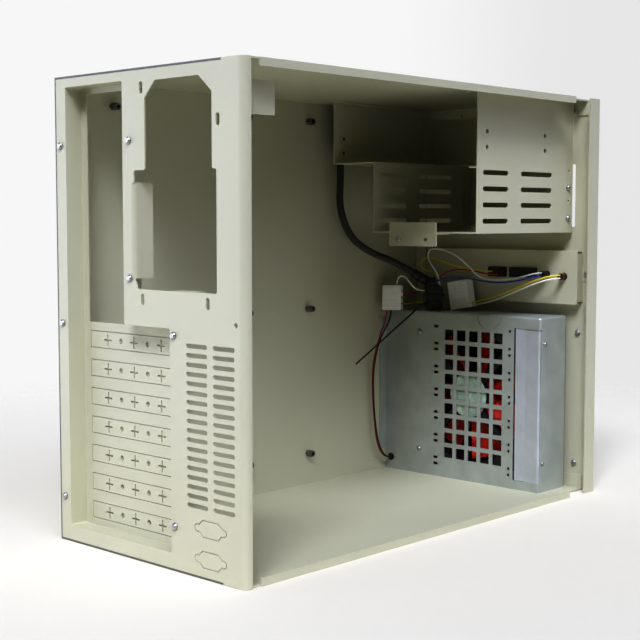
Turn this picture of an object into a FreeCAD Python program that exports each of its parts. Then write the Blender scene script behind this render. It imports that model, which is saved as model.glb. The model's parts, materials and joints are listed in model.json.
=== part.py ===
import FreeCAD, Part
import math
import os

# Wall-mount industrial PC chassis with its side cover off.
# Lengths are in millimetres. Places are given as x, d and z:
# x runs from the open side to the tray wall, d runs forward from the rear face, z runs up.

# Overall sheet-metal case
width = 192.0
height = 327.0
depth = 403.0
sheet = 1.2
thin = 1.0
fit_gap = 0.2
lip = 5.3
lip_start = 14.0
front_return = 14.0
front_notch = 10.0
notch_length = 23.0
shell_flange = 11.0
fold_relief = 2.0

# Rear panel and its corner ears
rear_return = 6.5
ear_width = 20.0
corner_r = 4.0
recess_r = 1.5
rear_bend = 5.0
recess_left = width - 12.0
recess_right_upper = width - 75.0
recess_right_lower = width - 122.0
recess_top = 319.5
recess_step = 158.5
recess_bottom = 11.5
recess_depth = 13.5
carrier_flange = 10.0

# Power supply opening: its screw slots lie on a 138 by 74 mm pattern
psu_x = 97.3
psu_z = 176.0
psu_rise = 138.0
psu_rise_short = 114.0
psu_span = 74.0
psu_span_short = 64.0
psu_slot_w = 3.6
psu_slot_h = 8.0
psu_tab_depth = 15.0
psu_tab_low = 13.5
psu_tab_high = 76.8
psu_tab_bend = 3.0
psu_tab_root = 8.0
psu_tab_corner = 4.0
psu_cut_r = 1.5
psu_rest_width = 22.0
psu_rest_depth = 12.0

# Ventilation slots and connector knock-outs of the rear panel
vent_rows = 18
vent_pitch = 6.03
vent_top = 148.6
vent_columns = (44.2, 19.0)
vent_w = 20.0
vent_h = 3.0
port_x = 31.9
port_rows = (32.6, 12.7)
port_w = 21.4
port_h = 11.5
port_cut = 3.0
port_ears = 30.5
port_ears_h = 5.4
groove = 0.7
groove_depth = 0.6
port_corner = 0.8
spare_hole = (7.6, 163.9)

# Expansion slots and the board's input and output opening
slot_count = 7
slot_pitch = 20.32
slot_first = 144.6
slot_h = 12.1
slot_left = width - 20.0
slot_right = width - 120.0
cover_h = 18.4
cover_left = width - 14.0
tongue = 6.0
tongue_h = 10.0
cover_tab = 12.0
cover_pad_gap = 0.45
mark_count = 5
mark_first = 19.3
mark_step = 14.4
mark_r = 1.9
mark_arm = 4.1
mark_bar = 0.6
io_left = width - 18.0
io_w = 44.45
io_bottom = 156.6
io_h = 158.75

# Board standoffs: columns from the board's rear edge, rows down from the top
board_edge = 2.1
board_columns = (10.16, 165.1, 237.49)
board_top_rear = 33.02
board_top = 310.0
board_rows = (0.0, 157.48, 281.94)
standoff_h = 6.5
standoff_r = 2.9
stub_r = 1.9
stub_gap = 0.05

# Screws
screw_r = 1.5
screw_hole_r = 1.7
head_r = 2.4
proud = 2.0
small_head_r = 2.1
small_head = 1.6

# Drive cage: a 5.25 inch bay over a 3.5 inch bay
cage_x = 22.0
bay_w = 147.0
small_bay_w = 102.6
cage_length = 133.7
cage_bottom = 217.5
cage_ledge = 274.2
cage_setback = 3.3
cage_flange = 10.0
bay_slot_rows = (264.5, 252.0, 239.6, 227.1)
bay_slot_columns = ((7.5, 41.0), (58.4, 102.5))
bay_slot_h = 3.7
device_first = 12.4
device_pitch = 79.25
device_rows = (295.8, 283.9)
device_hole_r = 1.8
cage_screw_back = 7.3
cage_screw_rows = (254.7, 229.5)
cage_hole_rows = (268.2, 243.3)
cage_hole_r = 1.3
tab_drop = 5.5
tab_w = 7.0
tab_length = 25.0

# Hold-down angle under the cage
hold_x = 60.5
hold_w = 48.0
hold_low = 207.0
hold_high = 226.0
hold_leg = 16.0
hold_screw_x = 98.6
hold_hole_x = 71.4
hold_screw_z = 212.5

# Front bays and inlet
bay_open_gap = 1.0
small_open_x = 21.2
small_open_low = 222.0
small_open_high = 274.5
bay_open_low = 277.0
bay_open_high = 318.5
bay_corner = 1.5
cover_setback = 5.8
cover_ear = 14.0
inlet_rows = 9
inlet_pitch = 9.5
inlet_w = 96.0
inlet_h = 4.0
filter_half = 56.0
filter_t = 5.0
filter_rim = 6.0
filter_pleats = 12
filter_wave = 1.6
filter_sheet = 0.8

# Switch bracket, switches and lamps
bracket_x = 12.3
bracket_w = 156.2
bracket_low = 157.3
bracket_high = 202.0
bracket_depth = 8.3
bracket_ear = 8.0
bracket_ear_h = 12.0
switch_z = 182.7
switch_h = 8.2
switch_back = 3.0
power_x = 65.6
power_w = 26.7
reset_x = 92.5
reset_w = 17.6
bezel = 1.5
bezel_t = 1.0
switch_gap = 0.3
rocker_wall = 1.2
rocker_gap = 0.6
rocker_pivot = 2.5
rocker_tilt = 8.0
pin_r = 0.9
run_gap = 0.05
button_r = 3.0
button_gap = 0.1
button_travel = 1.2
button_length = 9.0
rocker_well = 5.0
lamp_places = ((42.0, 182.0, depth - 19.0), (25.0, 180.5, depth - 17.0))
lens_r = 2.5
lamp_collar_r = 3.2
lamp_sleeve_r = 2.75
lamp_gap = 0.1
lens_proud = 1.5
lens_edge = 0.8
lamp_collar = 1.5

# Fan box and 120 mm fan
box_x = 24.5
box_face = depth - 45.5
box_depth = 37.5
box_top = 147.5
box_bend = 2.0
box_flange = 9.6
box_flange_low = 20.0
box_flange_top = 140.0
notch_x = 50.5
notch_low = 9.0
notch_high = 137.5
box_floor_leg = 20.0
strip_w = 23.0
strip_fold = 13.8
strip_rise = 1.5
strip_bend = 2.0
strip_d = 26.0
strip_low = 3.0
strip_high = 4.0
fan_x = 99.0
fan_z = 76.0
fan_size = 120.0
fan_pitch = 105.0
fan_depth = 25.0
fan_bore_r = 58.0
fan_flange = 4.0
fan_wall = 1.8
fan_corner = 6.0
strut_w = 6.0
strut_t = 3.5
fan_hole_r = 2.15
hub_r = 20.0
stator_h = 4.5
hub_gap = 0.4
shaft_r = 2.0
shaft_in = 3.0
shaft_floor = 0.5
blade_count = 7
blade_t = 1.6
blade_end_gap = 2.0
blade_stations = ((18.0, 17.0, 48.0), (38.0, 24.0, 38.0), (55.0, 29.0, 30.0))
grid_columns = 5
grid_rows = 9
grid_pitch = 13.0
grid_hole = 9.2
grid_x = 92.9
grid_z = 75.6
guide_x = 133.0
guide_dot_x = 55.0
guide_first = 137.2
guide_gap = 5.4
guide_w = 4.5
guide_h = 2.2
moon_x = 76.4
moon_r = 13.0
pad_r = 5.0
box_side_screws = ((box_face + 6.9, 125.2), (box_face + 4.7, 25.6))
box_wall_screw = (box_face - 4.1, 136.8)
grommet_x = width - 8.0
grommet_z = 12.0
grommet_r = 2.6
grommet_lip = 0.6
grommet_proud = 0.8
grommet_gap = 0.3

# Power supply guide on the rear panel
guide_plate_x = 15.8
guide_leg = 9.0
guide_reach = 42.0
guide_low = psu_z + 118.0
guide_high = psu_z + 139.2

# Wall-mount holes in the tray wall
mount_d = (22.0, 338.4)
mount_z = (11.1, 285.0)
mount_r = 1.7

# Loose harness: bundle, tie, plugs and wires
bundle_at = (145.2, depth - 34.2)
bundle_yaw = 43.3
bundle_back = 8.0
bundle_step = 2.0
bundle_front = 8.0
bundle_half = 6.5
bundle_high = 177.0
bundle_low = 168.0
wire_d = 1.4
sleeve_d = 6.0
collar_wall = 1.5
collar_length = 16.0
tie_low = 158.0
tie_high = 161.5
tie_t = 1.0
tail_r = 0.7
tie_tail_end = (187.0, depth - 91.3, 100.2)
plug_edge = 0.8
plug_left_face = (172.3, depth - 60.2)
plug_left_yaw = 28.3
plug_left_half = 8.5
plug_left_t = 9.0
plug_left_low = 147.5
plug_left_high = 169.5
plug_right_at = (123.5, depth - 22.0, 161.75)
plug_right_half = 10.5
plug_right_half_h = 12.3
plug_right_t = 10.0
plug_right_tilt = 10.0
clamp_w = 14.0
clamp_half = 4.0
clamp_h = 22.0

half_w = width / 2
half_d = depth / 2
tray = width - sheet
front_in = depth - sheet
cage_front = front_in - cage_setback
cage_rear = cage_front - cage_length
cage_screw_d = cage_front - cage_screw_back
roof = height - sheet
floor_in = sheet
slot_face = recess_depth + thin
lip_end = depth - front_return - notch_length + sheet
rear_edge = tray - fit_gap


def vec(x, d, z):
    return FreeCAD.Vector(x - half_w, half_d - d, z)


def box(x0, x1, d0, d1, z0, z1):
    return Part.makeBox(x1 - x0, d1 - d0, z1 - z0, vec(x0, d1, z0))


def rod_d(x, z, r, d0, d1):
    return Part.makeCylinder(r, d1 - d0, vec(x, d1, z), FreeCAD.Vector(0, 1, 0))


def rod_x(d, z, r, x0, x1):
    return Part.makeCylinder(r, x1 - x0, vec(x0, d, z), FreeCAD.Vector(1, 0, 0))


def rod_z(x, d, r, z0, z1):
    return Part.makeCylinder(r, z1 - z0, vec(x, d, z0), FreeCAD.Vector(0, 0, 1))


def corner(before, at, after, r):
    """Tangent points and middle of the arc that rounds one corner."""
    a = (before - at).normalize()
    b = (after - at).normalize()
    half = a.getAngle(b) / 2
    reach = r / math.tan(half)
    middle = (a + b).normalize()
    centre = at + middle * (r / math.sin(half))
    return at + a * reach, centre - middle * r, at + b * reach


def closed_wire(points, r=0.0):
    """Closed outline through the points, its corners rounded by r."""
    if r <= 0:
        return Part.makePolygon(points + [points[0]])
    n = len(points)
    arcs = [corner(points[i - 1], points[i], points[(i + 1) % n], r) for i in range(n)]
    edges = []
    for i in range(n):
        start, middle, end = arcs[i]
        edges.append(Part.Arc(start, middle, end).toShape())
        edges.append(Part.LineSegment(end, arcs[(i + 1) % n][0]).toShape())
    return Part.Wire(edges)


def plate_d(outline, r, d0, d1):
    """Flat plate with an outline in x and z, from d0 to d1."""
    wire = closed_wire([vec(x, d1, z) for x, z in outline], r)
    return Part.Face(wire).extrude(FreeCAD.Vector(0, d1 - d0, 0))


def plate_x(outline, r, x0, x1):
    """Flat plate with an outline in d and z, from x0 to x1."""
    wire = closed_wire([vec(x0, d, z) for d, z in outline], r)
    return Part.Face(wire).extrude(FreeCAD.Vector(x1 - x0, 0, 0))


def rectangle(a0, a1, b0, b1):
    return [(a0, b0), (a1, b0), (a1, b1), (a0, b1)]


def obround(place, length, across):
    """Face with full round ends; place turns (along, across) into a point."""
    r = across / 2
    straight = length / 2 - r
    edges = []
    for way in (1, -1):
        start = place(-way * straight, way * r)
        end = place(way * straight, way * r)
        edges.append(Part.LineSegment(start, end).toShape())
        edges.append(Part.Arc(end, place(way * (straight + r), 0), place(way * straight, -way * r)).toShape())
    return Part.Face(Part.Wire(edges))


def slot_along_x(x, z, w, h, d0, d1):
    return obround(lambda u, v: vec(x + u, d1, z + v), w, h).extrude(FreeCAD.Vector(0, d1 - d0, 0))


def slot_along_z(x, z, w, h, d0, d1):
    return obround(lambda u, v: vec(x + v, d1, z + u), h, w).extrude(FreeCAD.Vector(0, d1 - d0, 0))


def slot_along_d(d0, d1, z, h, x0, x1):
    middle = (d0 + d1) / 2
    return obround(lambda u, v: vec(x0, middle + u, z + v), d1 - d0, h).extrude(FreeCAD.Vector(x1 - x0, 0, 0))


def fused(solids):
    return solids[0].fuse(solids[1:]).removeSplitter()


def cut(solid, tools):
    return solid.cut(Part.makeCompound(tools))


def rolled(solid, r, **at):
    """Solid with the straight edges that lie at the given x, d and z rounded by r."""
    edges = []
    for edge in solid.Edges:
        ends = [{"x": v.X + half_w, "d": half_d - v.Y, "z": v.Z} for v in edge.Vertexes]
        if all(abs(end[key] - value) < 0.001 for end in ends for key, value in at.items()):
            edges.append(edge)
    return solid.makeFillet(r, edges)


def turned(profile, seat, out):
    """Solid of revolution from (radius, height) points, stood at seat along out."""
    face = Part.Face(Part.makePolygon([FreeCAD.Vector(r, 0, h) for r, h in profile + profile[:1]]))
    solid = face.revolve(FreeCAD.Vector(0, 0, 0), FreeCAD.Vector(0, 0, 1), 360)
    turn = FreeCAD.Rotation(FreeCAD.Vector(0, 0, 1), out)
    solid.Placement = FreeCAD.Placement(seat, turn)
    return solid


def screw(seat, out, shank, r=head_r, h=proud):
    return turned([(0, -shank), (screw_r, -shank), (screw_r, 0), (r, 0), (r, 0.5 * h), (0.65 * r, h), (0, h)],
                  seat, out)


to_rear = FreeCAD.Vector(0, 1, 0)
to_front = FreeCAD.Vector(0, -1, 0)
to_open = FreeCAD.Vector(-1, 0, 0)

recess = [(recess_right_upper, recess_top), (recess_left, recess_top), (recess_left, recess_bottom),
          (recess_right_lower, recess_bottom), (recess_right_lower, recess_step),
          (recess_right_upper, recess_step)]


def grown_recess(by):
    """Recess outline moved outward by one distance on every side."""
    return [(recess_right_upper - by, recess_top + by), (recess_left + by, recess_top + by),
            (recess_left + by, recess_bottom - by), (recess_right_lower - by, recess_bottom - by),
            (recess_right_lower - by, recess_step + by), (recess_right_upper - by, recess_step + by)]


slot_rows = [slot_first - i * slot_pitch for i in range(slot_count)]
rear_screw_places = [
    (recess_right_upper - 0.7 * carrier_flange, 280.4),
    (recess_right_upper - 0.7 * carrier_flange, 189.7),
    (recess_right_lower - 0.4 * carrier_flange, 154.3),
    (recess_right_lower - 0.4 * carrier_flange, 29.6),
    (recess_left + 0.6 * carrier_flange, 279.4),
    (recess_left + 0.6 * carrier_flange, 155.6),
    (recess_left + 0.6 * carrier_flange, 31.9)]
front_flange_mid = sheet + shell_flange / 2
front_screw_places = [(60.0, front_flange_mid), (140.0, front_flange_mid),
                      (140.0, height - front_flange_mid),
                      (width - front_flange_mid, 60.0), (width - front_flange_mid, 270.0)]
roof_flange_screw = (21.0, 317.4)
inner_screw_places = [(18.2, 22.0), (16.6, 132.8)]
bracket_ear_x = (bracket_x - bracket_ear / 2, bracket_x + bracket_w + bracket_ear / 2)
board_rear = slot_face + board_edge
standoff_places = []
for row, down in enumerate(board_rows):
    for column, along in enumerate(board_columns):
        step = board_top_rear if row == 0 and column == 0 else along
        standoff_places.append((board_rear + step, board_top - down))


def main_shell():
    solids = [box(0, width, 0, front_in, 0, sheet),
              box(tray, width, 0, front_in, 0, height),
              box(0, width, 0, front_in, roof, height)]
    for low, high in ((0, lip), (height - lip, height)):
        solids.append(box(0, sheet, lip_start, lip_end, low, high))
    flange_in = front_in - sheet
    solids.append(box(front_notch, tray - fold_relief, flange_in, front_in, 0, shell_flange + sheet))
    solids.append(box(front_notch, tray - fold_relief, flange_in, front_in, roof - shell_flange, height))
    wall_low = shell_flange + sheet + fold_relief
    solids.append(box(tray - shell_flange, width, flange_in, front_in, wall_low, height - wall_low))
    rear_flange = sheet + thin
    solids.append(box(recess_left + 2 * thin, width, rear_flange, rear_flange + sheet,
                      recess_bottom + carrier_flange, recess_top - carrier_flange))
    shell = fused(solids)
    tools = []
    for low, high in ((-1, lip), (height - lip, height + 1)):
        tools.append(box(-1, ear_width + fit_gap, -1, sheet + fit_gap, low, high))
        tools.append(box(-1, sheet + fit_gap, -1, lip_start - fit_gap, low, high))
        tools.append(box(-1, rear_bend, -1, rear_bend, low, high))
        tools.append(box(-1, front_notch, lip_end, depth, low, high))
    for d, z in standoff_places:
        tools.append(rod_x(d, z, stub_r + stub_gap, tray - 1, width + 1))
    for d in mount_d:
        for z in mount_z:
            tools.append(rod_x(d, z, mount_r, tray - 1, width + 1))
    for x, z in rear_screw_places[4:]:
        tools.append(rod_d(x, z, screw_hole_r, 0, 2 * sheet + 2 * thin + 1))
    for x, z in front_screw_places + [roof_flange_screw]:
        tools.append(rod_d(x, z, screw_hole_r, flange_in - 1, depth))
    tools.append(rod_x(*box_wall_screw, screw_hole_r, tray - 1, width + 1))
    return cut(shell, tools)


def psu_cut_out():
    """Cut-out around the power supply's socket and fan, with chamfered shoulders."""
    steps = [(-3.3, 131.0), (-14.3, 142.0), (-56.3, 142.0), (-68.6, 131.5), (-68.6, 84.0), (-72.7, 84.0),
             (-72.7, 6.7), (5.0, 6.7), (8.2, 12.9), (8.2, 84.7), (-3.3, 84.7)]
    return [(psu_x + a, psu_z + b) for a, b in steps]


def port_outline(grow):
    """Connector body with cut corners, round its own centre."""
    a = port_w / 2 + grow
    b = port_h / 2 + grow
    return [(a - port_cut, b), (a, b - port_cut), (a, port_cut - b), (a - port_cut, -b),
            (port_cut - a, -b), (-a, port_cut - b), (-a, b - port_cut), (port_cut - a, b)]


def knock_out(z):
    """Groove round a connector knock-out: the body and its two ears in one outline."""
    rings = []
    for grow in (0.0, -groove):
        outline = [(port_x + a, z + b) for a, b in port_outline(grow)]
        ears = slot_along_x(port_x, z, port_ears + 2 * grow, port_ears_h + 2 * grow, -1, groove_depth)
        rings.append(fused([plate_d(outline, port_corner, -1, groove_depth), ears]))
    return rings[0].cut(rings[1])


def corner_bend(x0, x1, d1, z0, z1, t, r):
    """Sheet that lies along the rear face from x1 to x0, then turns forward to d1 in a bend of r."""
    outer = rolled(box(x0, x1, 0, d1, z0, z1), r, x=x0, d=0)
    inner = rolled(box(x0 + t, x1 + 1, t, d1 + 1, z0 - 1, z1 + 1), r - t, x=x0 + t, d=t)
    return outer.cut(inner)


def rear_panel():
    low = sheet + fit_gap
    high = roof - fit_gap
    cut_out = psu_cut_out()
    tab_x = cut_out[8][0]
    rest_z = cut_out[6][1]
    rest_x = psu_x - psu_span / 2 - psu_rest_width / 2
    tab_low = psu_z + psu_tab_low
    tab_high = psu_z + psu_tab_high
    tab_end = psu_tab_depth + sheet
    tab = corner_bend(tab_x, tab_x + psu_tab_root, tab_end, tab_low, tab_high, sheet, psu_tab_bend)
    tab = rolled(tab, psu_tab_corner, d=tab_end, z=tab_high)
    panel = fused([box(rear_bend + sheet, rear_edge, 0, sheet, low, high),
                   corner_bend(0, ear_width, rear_return, 0, height, sheet, rear_bend)])
    openings = [plate_d(recess, recess_r, -1, sheet + 1), plate_d(cut_out, psu_cut_r, -1, sheet + 1),
                box(tab_x - 1, tab_x + psu_tab_bend, -1, sheet + 1, tab_low, tab_high)]
    tools = []
    for x, z in ((psu_x, psu_z + psu_rise), (psu_x, psu_z), (psu_x - psu_span, psu_z + psu_rise_short),
                 (psu_x - psu_span_short, psu_z)):
        tools.append(slot_along_z(x, z, psu_slot_w, psu_slot_h, -1, sheet + 1))
    for column in vent_columns:
        for row in range(vent_rows):
            tools.append(slot_along_x(column, vent_top - row * vent_pitch, vent_w, vent_h, -1, sheet + 1))
    for x, z in rear_screw_places:
        tools.append(rod_d(x, z, screw_hole_r, -1, sheet + 1))
    tools.append(rod_d(*spare_hole, screw_hole_r, -1, sheet + 1))
    tools.extend(knock_out(z) for z in port_rows)
    rest = box(rest_x, rest_x + psu_rest_width, 0, psu_rest_depth + sheet, rest_z - sheet, rest_z)
    return cut(fused([cut(panel, openings), tab, rest]), tools)


def slot_carrier():
    """Folded pan behind the rear panel with the expansion slots and the board's opening."""
    outer = plate_d(grown_recess(thin), recess_r + thin, sheet, slot_face)
    hollow = plate_d(recess, recess_r, sheet - 1, recess_depth)
    flange = plate_d(grown_recess(carrier_flange), corner_r, sheet, sheet + thin)
    room = box(recess_right_lower - carrier_flange, rear_edge, 0, depth, sheet + fit_gap, roof - fit_gap)
    tools = [hollow]
    for z in slot_rows:
        tools.append(box(slot_right, slot_left, recess_depth - 1, slot_face + 1,
                         z - slot_h / 2, z + slot_h / 2))
        tools.append(rod_x(cover_screw_d, z, screw_hole_r, recess_right_lower - 2, recess_right_lower + 1))
    tools.append(box(io_left - io_w, io_left, recess_depth - 1, slot_face + 1, io_bottom, io_bottom + io_h))
    for x, z in rear_screw_places:
        tools.append(rod_d(x, z, screw_hole_r, 0, sheet + thin + 1))
    tab_x = psu_cut_out()[8][0]
    tools.append(box(tab_x, tab_x + psu_tab_bend + fit_gap, 0, slot_face,
                     psu_z + psu_tab_low - fit_gap, psu_z + psu_tab_high + fit_gap))
    return cut(outer.fuse(flange.common(room)), tools)


cover_bend = recess_right_lower - thin
cover_rear = slot_face - cover_tab + fit_gap
cover_screw_d = (cover_rear + slot_face) / 2


def plus_mark(x, z, d0, d1):
    level = box(x - mark_arm, x + mark_arm, d0, d1, z - mark_bar, z + mark_bar)
    upright = box(x - mark_bar, x + mark_bar, d0, d1, z - mark_arm, z + mark_arm)
    return fused([level, upright])


def slot_cover(z):
    """Blank bracket: pad flush in the aperture, plate behind it, tongue to the board, tab on the ledge."""
    d0 = slot_face
    d1 = slot_face + thin
    half = cover_h / 2
    pad_half = slot_h / 2 - cover_pad_gap
    tab = plate_x(rectangle(cover_rear, d1, z - half, z + half), thin, cover_bend - thin, cover_bend)
    cover = fused([box(cover_bend - thin, cover_left, d0, d1, z - half, z + half),
                   box(cover_left, cover_left + tongue, d0, d1, z - tongue_h / 2, z + tongue_h / 2), tab,
                   box(slot_right + cover_pad_gap, slot_left - cover_pad_gap, recess_depth, d0,
                       z - pad_half, z + pad_half)])
    tools = [rod_x(cover_screw_d, z, screw_hole_r, cover_bend - 2, cover_bend + 1)]
    for i in range(mark_count):
        x = slot_left - mark_first - i * mark_step
        if i % 2:
            tools.append(rod_d(x, z, mark_r, recess_depth - 1, d1 + 1))
        else:
            tools.append(plus_mark(x, z, recess_depth - 1, d1 + 1))
    return cut(cover, tools)


def cover_screws():
    seat = cover_bend - thin
    return Part.makeCompound([screw(vec(seat, cover_screw_d, z), to_open, 3 * thin) for z in slot_rows])


def rear_screws():
    return Part.makeCompound([screw(vec(x, 0, z), to_rear, 2 * sheet + thin) for x, z in rear_screw_places])


def standoffs():
    """Hexagonal spacers for the board, each with a stub in the tray wall."""
    posts = []
    for d, z in standoff_places:
        ring = []
        for i in range(6):
            a = math.radians(60 * i)
            ring.append((d + standoff_r * math.cos(a), z + standoff_r * math.sin(a)))
        post = plate_x(ring, 0, tray - standoff_h, tray)
        stub = rod_x(d, z, stub_r, tray - 0.5, width)
        thread = rod_x(d, z, screw_r, tray - standoff_h - 1, tray - sheet)
        posts.append(post.fuse(stub).cut(thread))
    return Part.makeCompound(posts)


def psu_guide():
    leg = box(guide_plate_x - guide_leg, guide_plate_x + thin, sheet, 2 * sheet, guide_low, guide_high)
    outline = rectangle(sheet, guide_reach, guide_low, guide_high)
    plate = plate_x(outline, sheet / 2, guide_plate_x, guide_plate_x + thin)
    return fused([leg, plate])


def front_panel():
    panel = fused([box(0, width, front_in, depth, 0, height),
                   box(0, sheet, depth - front_return, depth, 0, height)])
    tools = [plate_d(rectangle(cage_x + thin + bay_open_gap, cage_x + thin + bay_w - bay_open_gap,
                               bay_open_low, bay_open_high), bay_corner, front_in - 1, depth + 1),
             plate_d(rectangle(small_open_x, cage_x + thin + small_bay_w - bay_open_gap,
                               small_open_low, small_open_high), bay_corner, front_in - 1, depth + 1)]
    for x, w in ((power_x, power_w), (reset_x, reset_w)):
        half = w / 2 + fit_gap
        half_h = switch_h / 2 + fit_gap
        tools.append(box(x - half, x + half, front_in - 1, depth + 1, switch_z - half_h, switch_z + half_h))
    for x, z, back in lamp_places:
        tools.append(rod_d(x, z, lens_r + lamp_gap, front_in - 1, depth + 1))
    for row in range(inlet_rows):
        z = fan_z + (row - (inlet_rows - 1) / 2) * inlet_pitch
        tools.append(slot_along_x(fan_x, z, inlet_w, inlet_h, front_in - 1, depth + 1))
    for x, z in front_screw_places + inner_screw_places + [roof_flange_screw]:
        tools.append(rod_d(x, z, screw_hole_r, front_in - 1, depth + 1))
    for x in bracket_ear_x:
        tools.append(rod_d(x, switch_z, screw_hole_r, front_in - 1, depth + 1))
    return cut(panel, tools)


def inlet_filter():
    """Pleated metal mesh in a frame, held behind the inlet slots."""
    d0 = front_in - filter_t
    low = fan_z - filter_half
    high = fan_z + filter_half
    x0 = fan_x - filter_half
    x1 = fan_x + filter_half
    rim = plate_d(rectangle(x0, x1, low, high), corner_r, d0, front_in)
    window = plate_d(rectangle(x0 + filter_rim, x1 - filter_rim, low + filter_rim, high - filter_rim), 1.0,
                     d0 - 1, front_in + 1)
    near = []
    steps = 2 * filter_pleats
    inner_low = low + filter_rim / 2
    step = (2 * filter_half - filter_rim) / steps
    for i in range(steps + 1):
        middle = (d0 + front_in - filter_sheet) / 2
        near.append((middle + (filter_wave if i % 2 else -filter_wave), inner_low + i * step))
    far = [(d + filter_sheet, z) for d, z in reversed(near)]
    core = plate_x(near + far, 0, x0 + filter_rim / 2, x1 - filter_rim / 2)
    return fused([rim.cut(window), core])


def front_screws():
    group = [screw(vec(x, depth, z), to_front, 2 * sheet) for x, z in front_screw_places]
    group += [screw(vec(x, front_in, z), to_rear, sheet) for x, z in inner_screw_places]
    x, z = roof_flange_screw
    group.append(screw(vec(x, front_in - sheet, z), to_rear, 2 * sheet))
    group += [screw(vec(x, front_in - thin, switch_z), to_rear, sheet + thin) for x in bracket_ear_x]
    return Part.makeCompound(group)


def bay_cover(x0, w, low, high):
    """Blank for a drive bay: a plate between the cage's walls with an ear along each."""
    d1 = front_in - cover_setback
    solids = [box(x0, x0 + w, d1 - thin, d1, low, high)]
    for near in (x0, x0 + w - thin):
        solids.append(box(near, near + thin, d1 - cover_ear, d1, low, high))
    return solids


def bay_cover_525():
    x0 = cage_x + thin
    return fused(bay_cover(x0, bay_w, cage_ledge + thin + bay_open_gap, bay_open_high))


def bay_cover_35():
    x0 = cage_x + thin
    cover = fused(bay_cover(x0, small_bay_w, small_open_low, small_open_high))
    tools = [rod_x(cage_screw_d, z, screw_hole_r, x0 - 1, x0 + thin + 1) for z in cage_screw_rows]
    return cut(cover, tools)


def drive_cage():
    """One stepped sheet: near wall, 3.5 inch floor and wall, ledge, 5.25 inch far wall."""
    near = cage_x + thin
    small_far = near + small_bay_w
    far = near + bay_w
    front = cage_front
    solids = [box(cage_x, near, cage_rear, front, cage_bottom, roof),
              box(cage_x, small_far + thin, cage_rear, front, cage_bottom, cage_bottom + thin),
              box(small_far, small_far + thin, cage_rear, front, cage_bottom, cage_ledge + thin),
              box(small_far, far + thin, cage_rear, front, cage_ledge, cage_ledge + thin),
              box(far, far + thin, cage_rear, front, cage_ledge, roof),
              box(cage_x, near + cage_flange, cage_rear, front, roof - thin, roof),
              box(far - cage_flange, far + thin, cage_rear, front, roof - thin, roof)]
    ledge_tab = cage_ledge - tab_drop
    solids.append(box(cage_x, near + tab_w, cage_rear, cage_rear + tab_length, ledge_tab - thin, ledge_tab))
    tools = []
    for x in (cage_x, small_far):
        for z in bay_slot_rows:
            for start, end in bay_slot_columns:
                tools.append(slot_along_d(cage_rear + start, cage_rear + end, z, bay_slot_h,
                                          x - 1, x + thin + 1))
    for x in (cage_x, far):
        for z in device_rows:
            for d in (device_first, device_first + device_pitch):
                tools.append(rod_x(cage_rear + d, z, device_hole_r, x - 1, x + thin + 1))
    for z in cage_screw_rows:
        tools.append(rod_x(cage_screw_d, z, screw_hole_r, cage_x - 1, near + 1))
    for z in cage_hole_rows:
        tools.append(rod_x(cage_screw_d + thin, z, cage_hole_r, cage_x - 1, near + 1))
    return cut(fused(solids), tools)


def cage_screws():
    group = [screw(vec(cage_x, cage_screw_d, z), to_open, 3 * thin) for z in cage_screw_rows]
    group.append(screw(vec(hold_screw_x, cage_rear - sheet, hold_screw_z), to_rear, 3 * sheet))
    return Part.makeCompound(group)


def hold_down_bracket():
    """Angle under the cage's floor with a screw through its standing leg."""
    leg = plate_d(rectangle(hold_x, hold_x + hold_w, hold_low, hold_high), 1.0, cage_rear - sheet, cage_rear)
    shelf = box(hold_x, hold_x + hold_w, cage_rear - sheet, cage_rear + hold_leg,
                cage_bottom - sheet, cage_bottom)
    holes = (hold_screw_x, hold_hole_x)
    tools = [rod_d(x, hold_screw_z, screw_hole_r, cage_rear - 3, cage_rear + 1) for x in holes]
    return cut(fused([leg, shelf]), tools)


bracket_back = front_in - bracket_depth - thin
switch_rear = bracket_back - switch_back


def switch_bracket():
    """Shallow hat on the front panel's inside that carries the switch wiring."""
    x0 = bracket_x
    x1 = bracket_x + bracket_w
    solids = [box(x0, x1, bracket_back, bracket_back + thin, bracket_low, bracket_high)]
    for z in (bracket_low, bracket_high - thin):
        solids.append(box(x0 + fold_relief, x1 - fold_relief, bracket_back, front_in, z, z + thin))
    for x in (x0, x1 - thin):
        solids.append(box(x, x + thin, bracket_back, front_in,
                          bracket_low + fold_relief, bracket_high - fold_relief))
    ear_low = switch_z - bracket_ear_h / 2
    for near, far in ((x0 - bracket_ear, x0 + thin), (x1 - thin, x1 + bracket_ear)):
        solids.append(box(near, far, front_in - thin, front_in, ear_low, ear_low + bracket_ear_h))
    tools = []
    for x, w in ((power_x, power_w), (reset_x, reset_w)):
        half = w / 2 + switch_gap
        half_h = switch_h / 2 + switch_gap
        tools.append(box(x - half, x + half, bracket_back - 1, bracket_back + thin + 1,
                         switch_z - half_h, switch_z + half_h))
    for x, z, back in lamp_places:
        tools.append(rod_d(x, z, lamp_sleeve_r + switch_gap, bracket_back - 1, bracket_back + thin + 1))
    for x in bracket_ear_x:
        tools.append(rod_d(x, switch_z, screw_hole_r, front_in - thin - 1, front_in + 1))
    return cut(fused(solids), tools)


def switch_case(x, w):
    """Switch housing through the front panel with a thin bezel outside."""
    half = w / 2
    half_h = switch_h / 2
    body = box(x - half, x + half, switch_rear, depth, switch_z - half_h, switch_z + half_h)
    wide = half + bezel
    tall = half_h + bezel
    outline = rectangle(x - wide, x + wide, switch_z - tall, switch_z + tall)
    frame = plate_d(outline, bezel_t, depth, depth + bezel_t)
    return fused([body, frame])


rocker_axis_d = depth - rocker_pivot
rocker_half = power_w / 2 - rocker_wall - rocker_gap
rocker_half_h = switch_h / 2 - rocker_wall


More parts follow.
